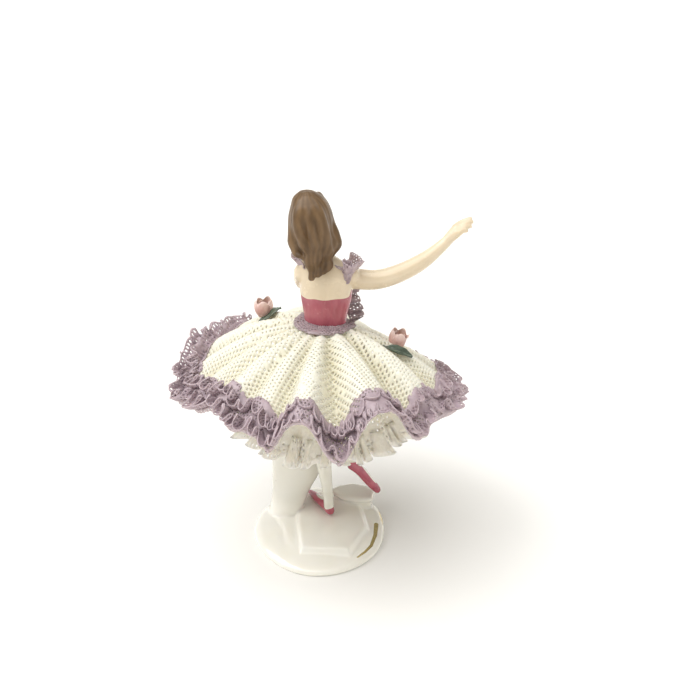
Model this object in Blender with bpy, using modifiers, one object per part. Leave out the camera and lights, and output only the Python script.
"""Porcelain ballerina figurine: a cast dancer on a glazed base with a stump, dressed in fired lace.

Metres, +Z up, origin at the centre of the underside of the base. The dancer faces -Y.
"""

import math

import bmesh
import bpy
from mathutils import Matrix, Vector

# Base and stump
BASE_RADIUS = 0.0225
BASE_SIDES = 40
BASE_EDGE_HEIGHT = 0.0026
BASE_CHAMFER = 0.0005
BASE_TOP = 0.0050
STEP_SLOPE = 0.0038
LEDGE_HEIGHT = 0.0036
STUMP_HEIGHT = 0.0560

# Dancer: every place and radius of the body is drawn on a grid of 115 parts of this height
FIGURE_HEIGHT = 0.1150
GRID = FIGURE_HEIGHT / 115
BODY_VOXEL = 0.00042
BODY_TRIANGLES = 2700

# Fired lace
LACE_STEPS = 96
NET_ROWS = 4
FIT_GAP = 0.0003
LACE_GAP = 1.4 * FIT_GAP
CUT_MARGIN = 0.00018
NET_THICKNESS = 0.0007
NET_RADIUS = 0.0430
WAIST_OPENING = 0.0035
SKIRT_BEND = 1.75
FOLD_HEIGHT = 0.0029
FOLD_SPREAD = 0.0008
PETTICOAT_RADIUS = 0.0285
PETTICOAT_LENGTH = 0.0300
PETTICOAT_THICKNESS = 0.0006
LAYER_DROP = 0.0017
HEM_THICKNESS = 0.0012
HEM_CURL = 0.0014
HEM_OVERHANG = 0.0031
HEM_WIDTH = 0.0082
WAIST_BAND_WIDTH = 0.0062
WAIST_BAND_THICKNESS = 0.0011

# Applied flowers
BUD_RADIUS = 0.0027
BUD_HEIGHT = 0.0050
LEAF_LENGTH = 0.0086
LEAF_WIDTH = 0.0032
LEAF_THICKNESS = 0.0006
# Side, place on the net, direction from bud to leaf, heading of the leaf's tip, lean of the bud
FLOWERS = (
    ("left", (0.0162, -0.0170), 112, 186, (0.05, -0.05)),
    ("right", (-0.0254, 0.0020), 88, 172, (-0.32, 0.05)),
)

# Valleys between the folds of the skirt, in degrees round the waist from +X
VALLEYS = (12, 44, 73, 96, 133, 154, 178, 204, 229, 254, 279, 303, 326, 349)
# How far the hem hangs below the waist at these angles: lifted on one side, low on the other
HEM_DROPS = (
    (5, 0.0197),
    (35, 0.0150),
    (95, 0.0166),
    (150, 0.0182),
    (175, 0.0225),
    (205, 0.0275),
    (228, 0.0280),
    (265, 0.0255),
    (310, 0.0207),
    (345, 0.0207),
)
# The hem is drawn in on one side by this much, centred on this angle
TUCK_DEPTH = 0.0040
TUCK_ANGLE = 42
# The skirt's hem is off centre from the waist by these amounts
HEM_OFFSET = (0.0024, -0.0015)


def grid_point(x, y, z):
    """A place on the dancer's own grid, with z counted up from her sole."""
    return Vector((x * GRID, y * GRID, BASE_TOP + FIT_GAP + z * GRID))


WAIST = grid_point(-3.1, 0.0, 73.9)


def clear_scene():
    for old in list(bpy.data.objects):
        bpy.data.objects.remove(old, do_unlink=True)


def new_collection(name):
    made = bpy.data.collections.new(name)
    bpy.context.scene.collection.children.link(made)
    return made


def add_object(name, mesh, collection):
    made = bpy.data.objects.new(name, mesh)
    collection.objects.link(made)
    return made


def painted(name, colour, roughness):
    """A glazed or bisque porcelain colour."""
    made = bpy.data.materials.new(name)
    made.use_nodes = True
    shader = made.node_tree.nodes["Principled BSDF"]
    shader.inputs["Base Color"].default_value = (*colour, 1.0)
    shader.inputs["Roughness"].default_value = roughness
    shader.inputs["Metallic"].default_value = 0.0
    return made


def mesh_of_rings(name, rings, closed_path=False):
    """Joins rings of points, all of one length, into a closed mesh. A path that isn't closed gets end caps."""
    mesh = bpy.data.meshes.new(name)
    built = bmesh.new()
    made = [[built.verts.new(point) for point in ring] for ring in rings]
    sides = len(rings[0])
    spans = len(rings) if closed_path else len(rings) - 1
    for i in range(spans):
        here, there = made[i], made[(i + 1) % len(rings)]
        for j in range(sides):
            k = (j + 1) % sides
            built.faces.new((here[j], here[k], there[k], there[j]))
    if not closed_path:
        built.faces.new(list(reversed(made[0])))
        built.faces.new(made[-1])
    bmesh.ops.recalc_face_normals(built, faces=built.faces)
    built.to_mesh(mesh)
    built.free()
    mesh.shade_smooth()
    return mesh


def oval_ring(centre, half_width, half_depth, turn, sides, front=1.0, back=1.0):
    """A level oval ring, turned about its centre. Front and back scale its depth towards -Y and +Y."""
    ring = []
    for i in range(sides):
        angle = 2 * math.pi * i / sides
        depth = half_depth * (back if math.sin(angle) > 0 else front)
        local = Vector((half_width * math.cos(angle), depth * math.sin(angle), 0))
        ring.append(centre + Matrix.Rotation(math.radians(turn), 3, "Z") @ local)
    return ring


def grid_loft(name, sections, sides=20):
    """A form on the dancer's grid from (x, y, z, half width, half depth, turn) sections."""
    rings = [
        oval_ring(grid_point(x, y, z), width * GRID, depth * GRID, turn, sides)
        for x, y, z, width, depth, turn in sections
    ]
    return mesh_of_rings(name, rings)


def grid_tube(name, stations, growth, sides=3):
    """A limb, lock or finger on the dancer's grid from (x, y, z, radius) stations, with round ends."""
    curve = bpy.data.curves.new(name, "CURVE")
    curve.dimensions = "3D"
    curve.bevel_depth = 1.0
    curve.bevel_resolution = sides
    curve.use_fill_caps = True
    curve.resolution_u = 4
    spline = curve.splines.new("NURBS")
    spline.points.add(len(stations) - 1)
    spline.use_endpoint_u = True
    spline.order_u = 3
    for point, (x, y, z, radius) in zip(spline.points, stations):
        point.co = (*grid_point(x, y, z), 1.0)
        point.radius = radius * GRID + growth
    made = bpy.data.objects.new(name, curve)
    bpy.context.scene.collection.objects.link(made)
    bpy.context.view_layer.update()
    graph = bpy.context.evaluated_depsgraph_get()
    mesh = bpy.data.meshes.new_from_object(made.evaluated_get(graph))
    bpy.data.objects.remove(made)
    built = bmesh.new()
    built.from_mesh(mesh)
    bmesh.ops.remove_doubles(built, verts=built.verts, dist=0.00001)
    for x, y, z, radius in (stations[0], stations[-1]):
        place = Matrix.Translation(grid_point(x, y, z))
        bmesh.ops.create_icosphere(built, subdivisions=2, radius=radius * GRID + growth, matrix=place)
    built.to_mesh(mesh)
    built.free()
    return mesh


def grid_ball(name, centre, radii, turn, growth, tilt=0.0):
    """An ellipsoid on the dancer's grid."""
    mesh = bpy.data.meshes.new(name)
    built = bmesh.new()
    size = Matrix.Diagonal([radius * GRID + growth for radius in radii] + [1.0])
    turned = Matrix.Rotation(math.radians(turn), 4, "Z") @ Matrix.Rotation(math.radians(tilt), 4, "Y")
    place = Matrix.Translation(grid_point(*centre)) @ turned @ size
    bmesh.ops.create_uvsphere(built, u_segments=20, v_segments=14, radius=1.0, matrix=place)
    built.to_mesh(mesh)
    built.free()
    return mesh


# Sections of the trunk: x, y, z, half width, half depth, turn about z in degrees
TORSO = (
    (-2.7, -0.5, 53.5, 6.0, 4.6, -6),
    (-2.6, -0.4, 57.0, 8.0, 5.8, -8),
    (-2.6, -0.2, 61.5, 8.8, 6.4, -10),
    (-2.8, 0.0, 67.0, 8.0, 5.7, -14),
    (-3.1, 0.0, 72.5, 6.9, 4.7, -18),
    (-3.1, -0.1, 77.0, 7.1, 4.8, -20),
    (-3.2, -0.3, 82.0, 7.7, 5.4, -20),
    (-3.2, -0.3, 86.0, 8.0, 5.5, -20),
    (-3.1, 0.1, 89.5, 8.2, 4.9, -20),
    (-2.9, 0.3, 92.3, 7.7, 3.8, -20),
    (-2.5, 0.2, 94.2, 5.4, 3.2, -20),
    (-2.0, 0.1, 95.8, 3.2, 2.9, -18),
    (-1.4, -0.2, 98.5, 2.6, 2.6, -16),
    (-0.6, -0.7, 102.5, 2.6, 2.7, -14),
)
# Mass of hair from the crown to the nape
HAIR = (
    (1.8, -0.2, 113.9, 1.9, 2.2, -12),
    (1.4, 0.0, 112.4, 4.0, 4.6, -12),
    (0.9, 0.5, 110.4, 5.2, 6.0, -12),
    (0.8, 1.3, 107.4, 6.0, 6.0, -12),
    (0.5, 2.0, 103.8, 6.1, 5.3, -12),
    (-0.4, 2.6, 101.0, 6.6, 4.6, -12),
    (-0.5, 3.2, 98.9, 6.2, 3.8, -14),
    (-0.7, 3.8, 96.6, 4.9, 3.1, -16),
    (-0.9, 4.3, 94.4, 3.6, 2.5, -18),
    (-0.6, 4.8, 92.0, 2.4, 1.8, -18),
)
# Locks that stand out of the hair: x, y, z, radius
LOCKS = (
    (
        (-1.4, -3.2, 111.6, 1.4),
        (-3.3, -1.0, 109.4, 1.6),
        (-4.4, 1.2, 105.4, 1.6),
        (-5.9, 2.6, 101.6, 1.8),
        (-6.0, 3.6, 99.2, 1.8),
        (-4.4, 5.0, 97.0, 1.4),
        (-2.6, 5.8, 96.4, 1.0),
    ),
    (
        (3.6, -3.2, 111.2, 1.4),
        (5.4, -0.6, 108.4, 1.7),
        (5.6, 1.6, 104.4, 1.6),
        (5.2, 2.8, 101.0, 1.8),
        (4.8, 4.0, 98.6, 1.7),
        (3.0, 5.4, 97.0, 1.3),
        (1.6, 6.2, 97.6, 0.9),
    ),
    (
        (1.5, 1.2, 113.0, 1.3),
        (-1.0, 4.0, 111.0, 1.6),
        (-2.3, 6.2, 106.6, 1.7),
        (-3.4, 6.6, 101.8, 1.7),
        (-3.7, 6.4, 97.6, 1.6),
        (-3.6, 6.0, 93.9, 1.5),
        (-2.6, 6.2, 92.6, 1.0),
    ),
    (
        (2.0, 1.2, 112.9, 1.3),
        (3.8, 4.0, 110.6, 1.7),
        (4.2, 5.8, 106.0, 1.7),
        (3.0, 6.8, 101.6, 1.6),
        (1.0, 7.0, 98.2, 1.6),
        (1.4, 6.6, 94.4, 1.3),
        (0.9, 6.6, 91.4, 1.0),
    ),
    (
        (1.6, 2.6, 112.6, 1.2),
        (1.0, 6.2, 109.4, 1.5),
        (0.5, 7.4, 104.6, 1.6),
        (-0.8, 7.6, 100.2, 1.6),
        (-1.0, 7.2, 96.4, 1.4),
        (-0.8, 6.6, 92.6, 1.2),
    ),
    (
        (-3.0, 4.4, 100.0, 1.2),
        (-3.8, 4.4, 96.6, 1.4),
        (-3.6, 5.2, 94.0, 1.4),
        (-1.4, 6.2, 92.6, 1.1),
    ),
)
# Limbs: x, y, z, radius
RIGHT_ARM = (
    (-7.6, 0.4, 89.2, 3.2),
    (-11.2, 0.1, 88.0, 3.2),
    (-17.6, -0.2, 87.2, 2.95),
    (-22.6, -1.0, 88.1, 2.85),
    (-27.0, -2.0, 89.5, 2.7),
    (-31.3, -3.0, 91.5, 2.5),
    (-35.1, -4.0, 93.9, 2.05),
    (-38.6, -5.0, 96.8, 1.7),
)
LEFT_ARM = (
    (2.2, -2.0, 89.4, 3.1),
    (3.4, -4.6, 87.9, 3.0),
    (3.6, -8.8, 84.2, 2.75),
    (2.8, -13.0, 81.8, 2.6),
    (0.6, -15.2, 84.4, 2.35),
    (-1.4, -15.8, 88.8, 1.95),
    (-2.6, -15.4, 92.6, 1.6),
)
LEFT_LEG = (
    (0.9, -0.5, 59.0, 5.2),
    (0.5, -1.0, 48.0, 4.4),
    (-0.6, -1.7, 35.0, 3.1),
    (-1.3, -1.5, 25.0, 2.9),
    (-2.4, -1.9, 14.0, 2.0),
    (-3.0, -2.1, 6.5, 1.7),
    (-3.1, -2.3, 2.6, 1.8),
)
LEFT_FOOT = (
    (-3.5, -1.9, 1.5, 1.5),
    (-1.9, -4.6, 2.5, 1.9),
    (0.6, -8.8, 1.7, 1.7),
    (2.4, -11.9, 1.2, 1.2),
    (3.1, -13.2, 1.0, 1.0),
)
RIGHT_LEG = (
    (-6.4, -0.3, 59.0, 5.2),
    (-8.0, -3.0, 48.0, 4.4),
    (-9.6, -6.4, 36.0, 3.1),
    (-10.2, -6.8, 28.0, 2.8),
    (-11.0, -6.8, 20.5, 1.8),
    (-11.4, -6.7, 17.6, 1.8),
)
RIGHT_FOOT = (
    (-11.2, -6.2, 17.2, 1.6),
    (-13.8, -7.0, 15.2, 1.9),
    (-17.2, -7.5, 9.6, 1.6),
    (-19.8, -7.7, 5.9, 1.15),
    (-20.5, -7.8, 4.9, 0.95),
)
# Hands: palm and fingers
RIGHT_HAND = (
    ((-38.6, -5.0, 96.8, 1.65), (-40.2, -5.3, 98.6, 1.75), (-41.8, -5.8, 100.4, 1.7)),
    ((-39.9, -4.6, 98.0, 1.2), (-41.4, -4.3, 99.2, 1.2), (-42.6, -4.2, 100.2, 0.95)),
    ((-41.4, -6.4, 100.9, 1.05), (-43.6, -7.4, 102.5, 0.85), (-46.2, -8.2, 102.9, 0.65)),
    ((-41.7, -5.6, 100.8, 1.05), (-44.0, -6.4, 102.2, 0.85), (-46.4, -7.2, 102.2, 0.65)),
    ((-41.7, -4.9, 100.4, 1.0), (-43.8, -5.3, 101.4, 0.8), (-45.9, -6.0, 101.2, 0.6)),
    ((-41.4, -4.3, 99.8, 0.9), (-43.0, -4.2, 100.6, 0.75), (-44.6, -4.6, 100.4, 0.6)),
)
LEFT_HAND = (
    ((-2.6, -15.4, 92.6, 1.55), (-3.1, -15.1, 94.2, 1.6), (-3.5, -14.9, 95.6, 1.5)),
    ((-2.3, -14.6, 93.4, 1.0), (-1.7, -14.0, 94.8, 0.85), (-1.5, -13.6, 96.0, 0.65)),
    ((-2.7, -15.0, 95.8, 0.95), (-2.6, -14.7, 97.8, 0.8), (-2.4, -14.1, 99.4, 0.6)),
    ((-3.5, -15.0, 96.2, 0.95), (-3.7, -14.8, 98.4, 0.8), (-3.6, -14.2, 100.2, 0.6)),
    ((-4.4, -15.0, 95.9, 0.9), (-4.8, -14.8, 97.9, 0.75), (-4.9, -14.3, 99.4, 0.6)),
)
HEAD_TURN = -14

# Corners of the raised step on the base, in 45ths of the base's radius
STEP_CORNERS = (
    (14.4, 2.0),
    (12.0, 27.2),
    (-17.6, 30.0),
    (-30.0, 8.4),
    (-27.2, -12.8),
    (-4.0, -31.2),
    (15.6, -26.4),
)
# Stump: share of its height, then x, y, half width and half depth on the dancer's grid
STUMP = (
    (0.00, 12.4, -8.8, 6.4, 6.8),
    (0.07, 11.6, -8.9, 5.5, 5.5),
    (0.19, 10.2, -9.0, 5.9, 5.0),
    (0.33, 7.8, -9.0, 8.0, 5.0),
    (0.50, 7.2, -9.0, 8.4, 4.8),
    (0.80, 7.6, -8.8, 7.7, 4.6),
    (0.96, 8.0, -8.6, 6.6, 4.2),
    (1.00, 8.2, -8.6, 4.6, 3.0),
)


def body_meshes(growth):
    """Every overlapping form of the dancer, each grown by the same amount."""
    extra = growth / GRID
    torso = [(x, y, z, w + extra, d + extra, t) for x, y, z, w, d, t in TORSO]
    hair = [(x, y, z, w + extra, d + extra, t) for x, y, z, w, d, t in HAIR]
    meshes = [grid_loft("torso", torso), grid_loft("hair", hair)]
    for limb in (RIGHT_ARM, LEFT_ARM, LEFT_LEG, LEFT_FOOT, RIGHT_LEG, RIGHT_FOOT):
        meshes.append(grid_tube("limb", limb, growth))
    for stations in RIGHT_HAND + LEFT_HAND + LOCKS:
        meshes.append(grid_tube("strand", stations, growth, sides=2))
    balls = (
        ("skull", (0.5, -0.6, 106.2), (5.1, 5.9, 6.4), 0),
        ("jaw", (0.0, -2.6, 101.8), (3.6, 3.9, 4.4), 0),
        ("chin", (-0.9, -5.0, 98.9), (1.5, 1.5, 1.4), 0),
        ("left_bust", (-1.2, -5.1, 85.4), (3.0, 2.4, 2.9), 0),
        ("right_bust", (-7.6, -3.0, 85.4), (3.0, 2.4, 2.9), 0),
        ("left_seat", (1.4, 3.2, 60.5), (4.6, 4.2, 4.6), 0),
        ("right_seat", (-6.2, 3.4, 60.5), (4.6, 4.2, 4.6), 0),
        ("left_shoulder", (4.2, -1.6, 89.6), (3.3, 3.3, 3.2), 0),
        ("right_shoulder", (-9.8, 1.0, 89.4), (3.4, 3.3, 3.3), 0),
    )
    for name, centre, radii, tilt in balls:
        meshes.append(grid_ball(name, centre, radii, HEAD_TURN, growth, tilt))
    nose = ((-1.2, -6.4, 105.0, 0.45), (-1.5, -7.6, 102.9, 0.7), (-1.35, -6.6, 102.3, 0.6))
    meshes.append(grid_tube("nose", nose, growth, sides=2))
    return meshes


def fused(name, meshes, triangles, collection):
    """Melts overlapping closed meshes into one skin, softens it and thins it to about this many triangles."""
    built = bmesh.new()
    for mesh in meshes:
        built.from_mesh(mesh)
    bmesh.ops.recalc_face_normals(built, faces=built.faces)
    joined = bpy.data.meshes.new(name)
    built.to_mesh(joined)
    built.free()
    made = add_object(name, joined, collection)
    melt = made.modifiers.new("Melt", "REMESH")
    melt.mode = "VOXEL"
    melt.voxel_size = BODY_VOXEL
    soften = made.modifiers.new("Soften", "SMOOTH")
    soften.factor = 0.5
    soften.iterations = 6
    faces = len(evaluated_mesh(made).polygons)
    thin = made.modifiers.new("Thin", "DECIMATE")
    thin.ratio = min(1.0, triangles / (2 * faces))
    final = evaluated_mesh(made)
    made.modifiers.clear()
    made.data = final
    final.shade_smooth()
    return made


def evaluated_mesh(made):
    bpy.context.view_layer.update()
    graph = bpy.context.evaluated_depsgraph_get()
    return bpy.data.meshes.new_from_object(made.evaluated_get(graph))


def cut_by(made, cutter):
    """Trims a piece of applied lace or the stump back from the dancer."""
    cut = made.modifiers.new("Fit", "BOOLEAN")
    cut.operation = "DIFFERENCE"
    cut.solver = "EXACT"
    cut.object = cutter


def fold_wave(degrees):
    """Folds at an angle: from -1 in a narrow valley to 1 on a round crest, scaled by the fold's width."""
    degrees = degrees % 360
    ends = [VALLEYS[-1] - 360, *VALLEYS, VALLEYS[0] + 360]
    for low, high in zip(ends, ends[1:]):
        if low <= degrees < high:
            share = (degrees - low) / (high - low)
            wave = 1 - 2 * abs(math.cos(math.pi * share)) ** 2.6
            return (wave if wave > 0 else 0.8 * wave) * min(1.3, (high - low) / 24)
    return 0.0


def hem_drop(degrees):
    """Drop of the unfolded hem at an angle, eased between the stated angles."""
    degrees = degrees % 360
    first, last = HEM_DROPS[0], HEM_DROPS[-1]
    ends = [(last[0] - 360, last[1]), *HEM_DROPS, (first[0] + 360, first[1])]
    for (low, here), (high, there) in zip(ends, ends[1:]):
        if low <= degrees < high:
            ease = 0.5 - 0.5 * math.cos(math.pi * (degrees - low) / (high - low))
            return here + (there - here) * ease
    return first[1]


def net_reach(degrees):
    """Distance of the net's hem from the middle of the waist, a little more in the valleys."""
    angle = math.radians(degrees)
    off = (degrees - TUCK_ANGLE + 180) % 360 - 180
    tuck = TUCK_DEPTH * math.exp(-((off / 26) ** 2))
    shift = HEM_OFFSET[0] * math.cos(angle) + HEM_OFFSET[1] * math.sin(angle)
    return NET_RADIUS + shift - tuck - FOLD_SPREAD * fold_wave(degrees)


def skirt_surface(degrees, share, lift=0.0):
    """The middle of the net, with share 0 at the waist and 1 at the hem, lifted square to the unfolded skirt."""
    angle = math.radians(degrees)
    span = net_reach(degrees) - WAIST_OPENING
    reach = WAIST_OPENING + span * share
    drop = hem_drop(degrees)
    out = max(share, 0.0)
    level = -drop * out**SKIRT_BEND + FOLD_HEIGHT * fold_wave(degrees) * out
    lean = math.atan(SKIRT_BEND * drop * out ** (SKIRT_BEND - 1) / span)
    reach += lift * math.sin(lean)
    level += lift * math.cos(lean)
    return WAIST + Vector((reach * math.cos(angle), reach * math.sin(angle), level))


def on_skirt(x, y, lift):
    """The point of the skirt above or below (x, y), lifted off it."""
    off = Vector((x, y, 0)) - Vector((WAIST.x, WAIST.y, 0))
    degrees = math.degrees(math.atan2(off.y, off.x))
    share = (off.length - WAIST_OPENING) / (net_reach(degrees) - WAIST_OPENING)
    return skirt_surface(degrees, share, lift)


def make_skirt(collection, cutter):
    half = NET_THICKNESS / 2
    shares = [i / NET_ROWS for i in range(NET_ROWS + 1)]
    under = [(share, -half) for share in shares]
    over = [(share, half) for share in reversed(shares)]
    rings = [
        [skirt_surface(360 * i / LACE_STEPS, share, lift) for share, lift in under + over]
        for i in range(LACE_STEPS)
    ]
    made = add_object("skirt_net", mesh_of_rings("skirt_net", rings, closed_path=True), collection)
    cut_by(made, cutter)
    return made


def petticoat_middle(degrees, share):
    """The under layer falls steeper than the net and has a frilled hem."""
    angle = math.radians(degrees)
    reach = WAIST_OPENING + (PETTICOAT_RADIUS - WAIST_OPENING) * share
    frill = math.cos(math.radians(14 * degrees)) * 0.0011 * share**2
    level = -LAYER_DROP - (PETTICOAT_LENGTH - LAYER_DROP) * share**1.15 + 0.6 * frill
    return WAIST + Vector(((reach + frill) * math.cos(angle), (reach + frill) * math.sin(angle), level))


def make_petticoat(collection, cutter):
    """A ring of thin lace, given its thickness by Solidify."""
    steps, rows = 56, 2
    mesh = bpy.data.meshes.new("petticoat")
    built = bmesh.new()
    rings = [
        [built.verts.new(petticoat_middle(360 * i / steps, j / rows)) for i in range(steps)]
        for j in range(rows + 1)
    ]
    for inner, outer in zip(rings, rings[1:]):
        for i in range(steps):
            k = (i + 1) % steps
            built.faces.new((inner[i], outer[i], outer[k], inner[k]))
    built.to_mesh(mesh)
    built.free()
    made = add_object("petticoat", mesh, collection)
    solid = made.modifiers.new("Thickness", "SOLIDIFY")
    solid.thickness = PETTICOAT_THICKNESS
    solid.offset = 0.0
    cut_by(made, cutter)
    return made


def hem_section(degrees):
    """The closed cross-section of the gathered hem, which lies on the net and laps over its edge."""
    reach = net_reach(degrees) - WAIST_OPENING
    rest = NET_THICKNESS / 2 + LACE_GAP
    curl = math.cos(math.radians(27 * degrees))
    other = math.cos(math.radians(27 * degrees + 130))
    scallop = 0.0007 * math.cos(math.radians(18 * degrees))
    width, lap = HEM_WIDTH + scallop, HEM_OVERHANG + 0.0009 * curl
    edge = 2 * LACE_GAP
    places = (
        (1 - width / reach, rest),
        (1 - 0.45 * width / reach, rest),
        (1 + edge / reach, rest),
        (1 + edge / reach, -NET_THICKNESS),
        (1 + lap / reach, rest),
        (1 + 0.3 * lap / reach, rest + HEM_THICKNESS + HEM_CURL * (1 + 0.7 * curl)),
        (1 - 0.35 * width / reach, rest + HEM_THICKNESS + HEM_CURL * (0.8 + 0.8 * other)),
        (1 - 0.8 * width / reach, rest + 0.8 * HEM_THICKNESS + 0.4 * HEM_CURL * (1 + curl)),
    )
    return [skirt_surface(degrees, share, lift) for share, lift in places]


def make_hem_frill(collection):
    rings = [hem_section(360 * i / LACE_STEPS) for i in range(LACE_STEPS)]
    return add_object("hem_frill", mesh_of_rings("hem_frill", rings, closed_path=True), collection)


def waist_section(degrees):
    reach = net_reach(degrees) - WAIST_OPENING
    rest = NET_THICKNESS / 2 + LACE_GAP
    pleat = 0.00035 * math.cos(math.radians(20 * degrees))
    width = WAIST_BAND_WIDTH + pleat
    places = (
        (0.0, rest),
        (width / reach, rest),
        (width / reach, rest + 0.6 * WAIST_BAND_THICKNESS),
        (0.7 * width / reach, rest + WAIST_BAND_THICKNESS + pleat),
        (0.0, rest + WAIST_BAND_THICKNESS),
    )
    return [skirt_surface(degrees, share, lift) for share, lift in places]


def make_waist_band(collection, cutter):
    steps = LACE_STEPS // 2
    rings = [waist_section(360 * i / steps) for i in range(steps)]
    made = add_object("waist_band", mesh_of_rings("waist_band", rings, closed_path=True), collection)
    cut_by(made, cutter)
    return made


def frill_strip(name, path, outward, height, foot, collection, cutter):
    """A pleated strip of lace standing on the body along a path, with its free edge outward."""
    rings = []
    count = len(path)
    for i, (place, out) in enumerate(zip(path, outward)):
        ahead = path[min(i + 1, count - 1)] - path[max(i - 1, 0)]
        ahead.normalize()
        rise = (out - ahead * out.dot(ahead)).normalized()
        side = ahead.cross(rise)
        swing = (0.55 if i % 2 else -0.55) * foot
        full = height * (0.55 + 0.45 * math.sin(math.pi * (i + 0.5) / count))
        half = foot / 2
        rings.append(
            [
                place - side * half - rise * foot,
                place + side * half - rise * foot,
                place + side * (half + 0.6 * swing) + rise * 0.6 * full,
                place + side * (0.6 * half + 1.5 * swing) + rise * full,
                place + side * (-0.6 * half + 1.5 * swing) + rise * full,
                place + side * (-half + 0.6 * swing) + rise * 0.6 * full,
            ]
        )
    made = add_object(name, mesh_of_rings(name, rings), collection)
    cut_by(made, cutter)
    return made


def arc_path(centre, across, up, radius, start, end, count):
    """Points and outward directions along an arc in the plane of across and up."""
    path, outward = [], []
    for i in range(count):
        angle = math.radians(start + (end - start) * i / (count - 1))
        out = across * math.cos(angle) + up * math.sin(angle)
        path.append(centre + out * radius)
        outward.append(out)
    return path, outward


def make_shoulder_frills(collection, cutter):
    """One frill over each shoulder, running round the arm from front to back."""
    lengthways = Vector((0.35, 0.94, 0)).normalized()
    for side, x, y, lean in (("right", -9.8, 0.9, -0.45), ("left", 3.4, -2.8, 0.45)):
        centre = grid_point(x, y, 89.0)
        up = Vector((lean, 0, 1)).normalized()
        path, outward = arc_path(centre, lengthways, up, 3.5 * GRID, 5, 175, 11)
        frill_strip(f"shoulder_frill_{side}", path, outward, 3.6 * GRID, 1.0 * GRID, collection, cutter)


def make_bodice_frills(collection, cutter):
    """One frill down each side of the bodice front, from the armhole to the waist."""
    for side, turn, low in (("right", 203, 0.0), ("left", 296, 0.0)):
        path, outward = [], []
        for i in range(9):
            share = i / 8
            z = 88.0 - 12.2 * share + low
            angle = math.radians(turn)
            width = 8.0 - 1.0 * share
            depth = 6.0 - 1.0 * share
            out = Vector((math.cos(angle), math.sin(angle), 0))
            path.append(grid_point(-3.2, -0.3, z) + Vector((out.x * width, out.y * depth, 0)) * GRID)
            outward.append(out)
        frill_strip(f"bodice_frill_{side}", path, outward, 2.4 * GRID, 1.0 * GRID, collection, cutter)


def make_leaf(name, place, heading, collection):
    """A pointed leaf that lies on the net, its tip a little lifted."""
    rows = 6
    ahead = Vector((math.cos(math.radians(heading)), math.sin(math.radians(heading)), 0))
    aside = Vector((-ahead.y, ahead.x, 0))
    rest = NET_THICKNESS / 2 + LACE_GAP
    rings = []
    for i in range(rows + 1):
        share = i / rows
        half = 0.5 * LEAF_WIDTH * math.sin(math.pi * (0.12 + 0.83 * share)) ** 0.8
        spot = place + ahead * LEAF_LENGTH * (share - 0.5)
        under = rest + 0.0010 * share**2
        ring = [on_skirt(*(spot + aside * half * k).xy, under) for k in (-1, 0, 1)]
        top = under + LEAF_THICKNESS
        ring += [on_skirt(*(spot + aside * half * k).xy, top + (0.0 if k else -0.0001)) for k in (1, 0, -1)]
        rings.append(ring)
    return add_object(name, mesh_of_rings(name, rings), collection)


def make_bud(name, place, lean, collection):
    """A half-open bud of three wrapped petals round a raised heart."""
    base = on_skirt(*place.xy, NET_THICKNESS / 2 + 2.4 * FIT_GAP)
    axis = Vector((lean[0], lean[1], 1)).normalized()
    turn = Vector((0, 0, 1)).rotation_difference(axis).to_matrix()
    profile = (
        (0.26, 0.00, 0.00),
        (0.66, 0.14, 0.02),
        (0.98, 0.38, 0.05),
        (1.00, 0.62, 0.08),
        (0.86, 0.86, 0.12),
        (0.90, 1.00, 0.16),
        (0.70, 0.93, 0.14),
        (0.52, 0.66, 0.08),
        (0.30, 0.80, 0.05),
    )
    sides = 15
    rings = []
    for radius, height, lobe in profile:
        ring = []
        for i in range(sides):
            angle = 2 * math.pi * i / sides
            petal = math.cos(3 * angle + 1.4 * height)
            out = BUD_RADIUS * (radius + lobe * petal)
            rise = BUD_HEIGHT * (height + 0.6 * lobe * petal * height)
            local = Vector((out * math.cos(angle), out * math.sin(angle), rise))
            ring.append(base + turn @ local)
        rings.append(ring)
    return add_object(name, mesh_of_rings(name, rings), collection)


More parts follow.
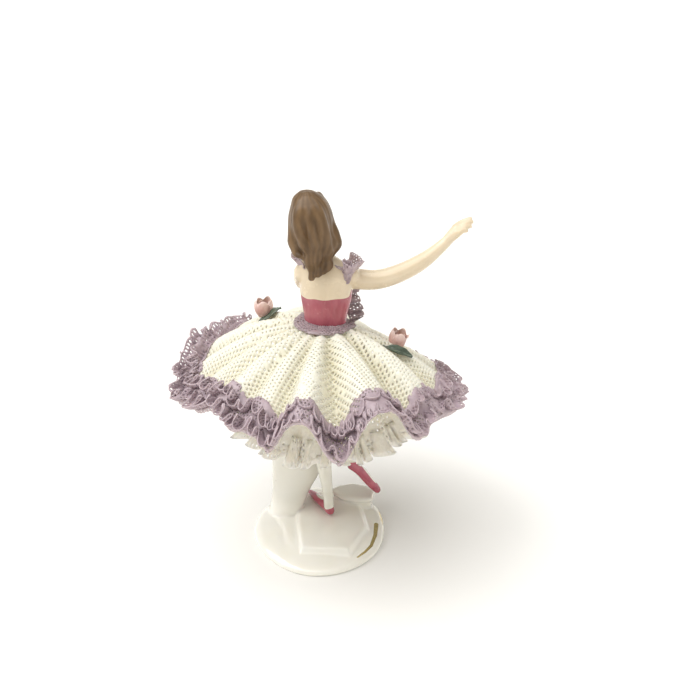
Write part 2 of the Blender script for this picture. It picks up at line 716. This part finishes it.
def make_base(collection, cutters, cutter):
    """The glazed base: a low disc, a faceted step, a ledge and the stump behind the dancer's leg."""
    share = BASE_RADIUS / 45
    profile = (
        (BASE_RADIUS - BASE_CHAMFER, 0.0),
        (BASE_RADIUS, BASE_CHAMFER),
        (BASE_RADIUS, 0.45 * BASE_EDGE_HEIGHT),
        (0.956 * BASE_RADIUS, 0.85 * BASE_EDGE_HEIGHT),
        (0.867 * BASE_RADIUS, 1.15 * BASE_EDGE_HEIGHT),
        (0.533 * BASE_RADIUS, 1.45 * BASE_EDGE_HEIGHT),
    )
    rings = []
    for radius, height in profile:
        ring = []
        for i in range(BASE_SIDES):
            angle = 2 * math.pi * i / BASE_SIDES
            out = radius * (1 + 0.012 * math.cos(3 * angle + 0.8) + 0.008 * math.cos(5 * angle))
            ring.append(Vector((out * math.cos(angle), out * math.sin(angle), height)))
        rings.append(ring)
    base = add_object("base", mesh_of_rings("base", rings), collection)

    middle = Vector((-6.4, -1.2, 0)) * share
    sink = 0.5 * BASE_EDGE_HEIGHT
    top = [Vector((x * share, y * share, BASE_TOP)) for x, y in STEP_CORNERS]
    foot = [p + (p - middle).normalized() * STEP_SLOPE for p in top]
    foot = [Vector((p.x, p.y, sink)) for p in foot]
    step = add_object("step", mesh_of_rings("step", [foot, top]), cutters)
    soft = step.modifiers.new("Soft edges", "BEVEL")
    soft.width = 0.02 * BASE_RADIUS * 2
    soft.segments = 1
    soft.limit_method = "ANGLE"

    ledge_rings = []
    for height, width, depth in ((0.0, 12.8, 7.2), (0.55, 12.4, 6.8), (0.84, 14.8, 9.2), (1.0, 13.2, 8.0)):
        level = sink + height * (BASE_TOP + LEDGE_HEIGHT - sink)
        centre = Vector((-26.0 * share, -20.8 * share, level))
        ledge_rings.append(oval_ring(centre, width * share, depth * share, -14, 20))
    ledge = add_object("ledge", mesh_of_rings("ledge", ledge_rings), cutters)

    stump_rings = []
    for height, x, y, width, depth in STUMP:
        centre = Vector((x * GRID, y * GRID, sink + height * STUMP_HEIGHT))
        stump_rings.append(oval_ring(centre, width * GRID, depth * GRID, 0, 20))
    stump = add_object("stump", mesh_of_rings("stump", stump_rings), cutters)

    for piece in (step, ledge, stump):
        piece.hide_render = True
        piece.display_type = "WIRE"
        join = base.modifiers.new(f"With {piece.name}", "BOOLEAN")
        join.operation = "UNION"
        join.solver = "EXACT"
        join.object = piece
    cut_by(base, cutter)
    return base


def make_all():
    clear_scene()
    model = new_collection("ballerina_figurine")
    cutters = new_collection("cutters")
    figure = fused("figure", body_meshes(0.0), BODY_TRIANGLES, model)
    clearance = fused("clearance", body_meshes(FIT_GAP + CUT_MARGIN), 2 * BODY_TRIANGLES, cutters)
    clearance.hide_render = True
    clearance.display_type = "WIRE"
    make_base(model, cutters, clearance)
    make_petticoat(model, clearance)
    make_skirt(model, clearance)
    make_hem_frill(model)
    make_waist_band(model, clearance)
    make_shoulder_frills(model, clearance)
    make_bodice_frills(model, clearance)
    for side, (x, y), beside, heading, lean in FLOWERS:
        place = Vector((x, y, 0))
        clear = 1.12 * BUD_RADIUS + 0.5 * LEAF_WIDTH + 2 * FIT_GAP
        to_leaf = Matrix.Rotation(math.radians(beside), 3, "Z") @ Vector((clear, 0, 0))
        make_leaf(f"leaf_{side}", place + to_leaf, heading, model)
        make_bud(f"rosebud_{side}", place, lean, model)

    looks = {
        "figure": painted("flesh", (0.80, 0.66, 0.50), 0.28),
        "base": painted("white_glaze", (0.86, 0.84, 0.78), 0.12),
        "skirt_net": painted("ivory_lace", (0.86, 0.84, 0.70), 0.55),
        "petticoat": painted("white_lace", (0.86, 0.84, 0.76), 0.55),
        "leaf_left": painted("leaf_green", (0.10, 0.16, 0.10), 0.35),
        "rosebud_left": painted("rose_pink", (0.80, 0.42, 0.38), 0.45),
    }
    looks["leaf_right"] = looks["leaf_left"]
    looks["rosebud_right"] = looks["rosebud_left"]
    lilac = painted("lilac_lace", (0.42, 0.30, 0.36), 0.55)
    for made in model.objects:
        made.data.materials.clear()
        made.data.materials.append(looks.get(made.name, lilac))
    figure.data.shade_smooth()


make_all()
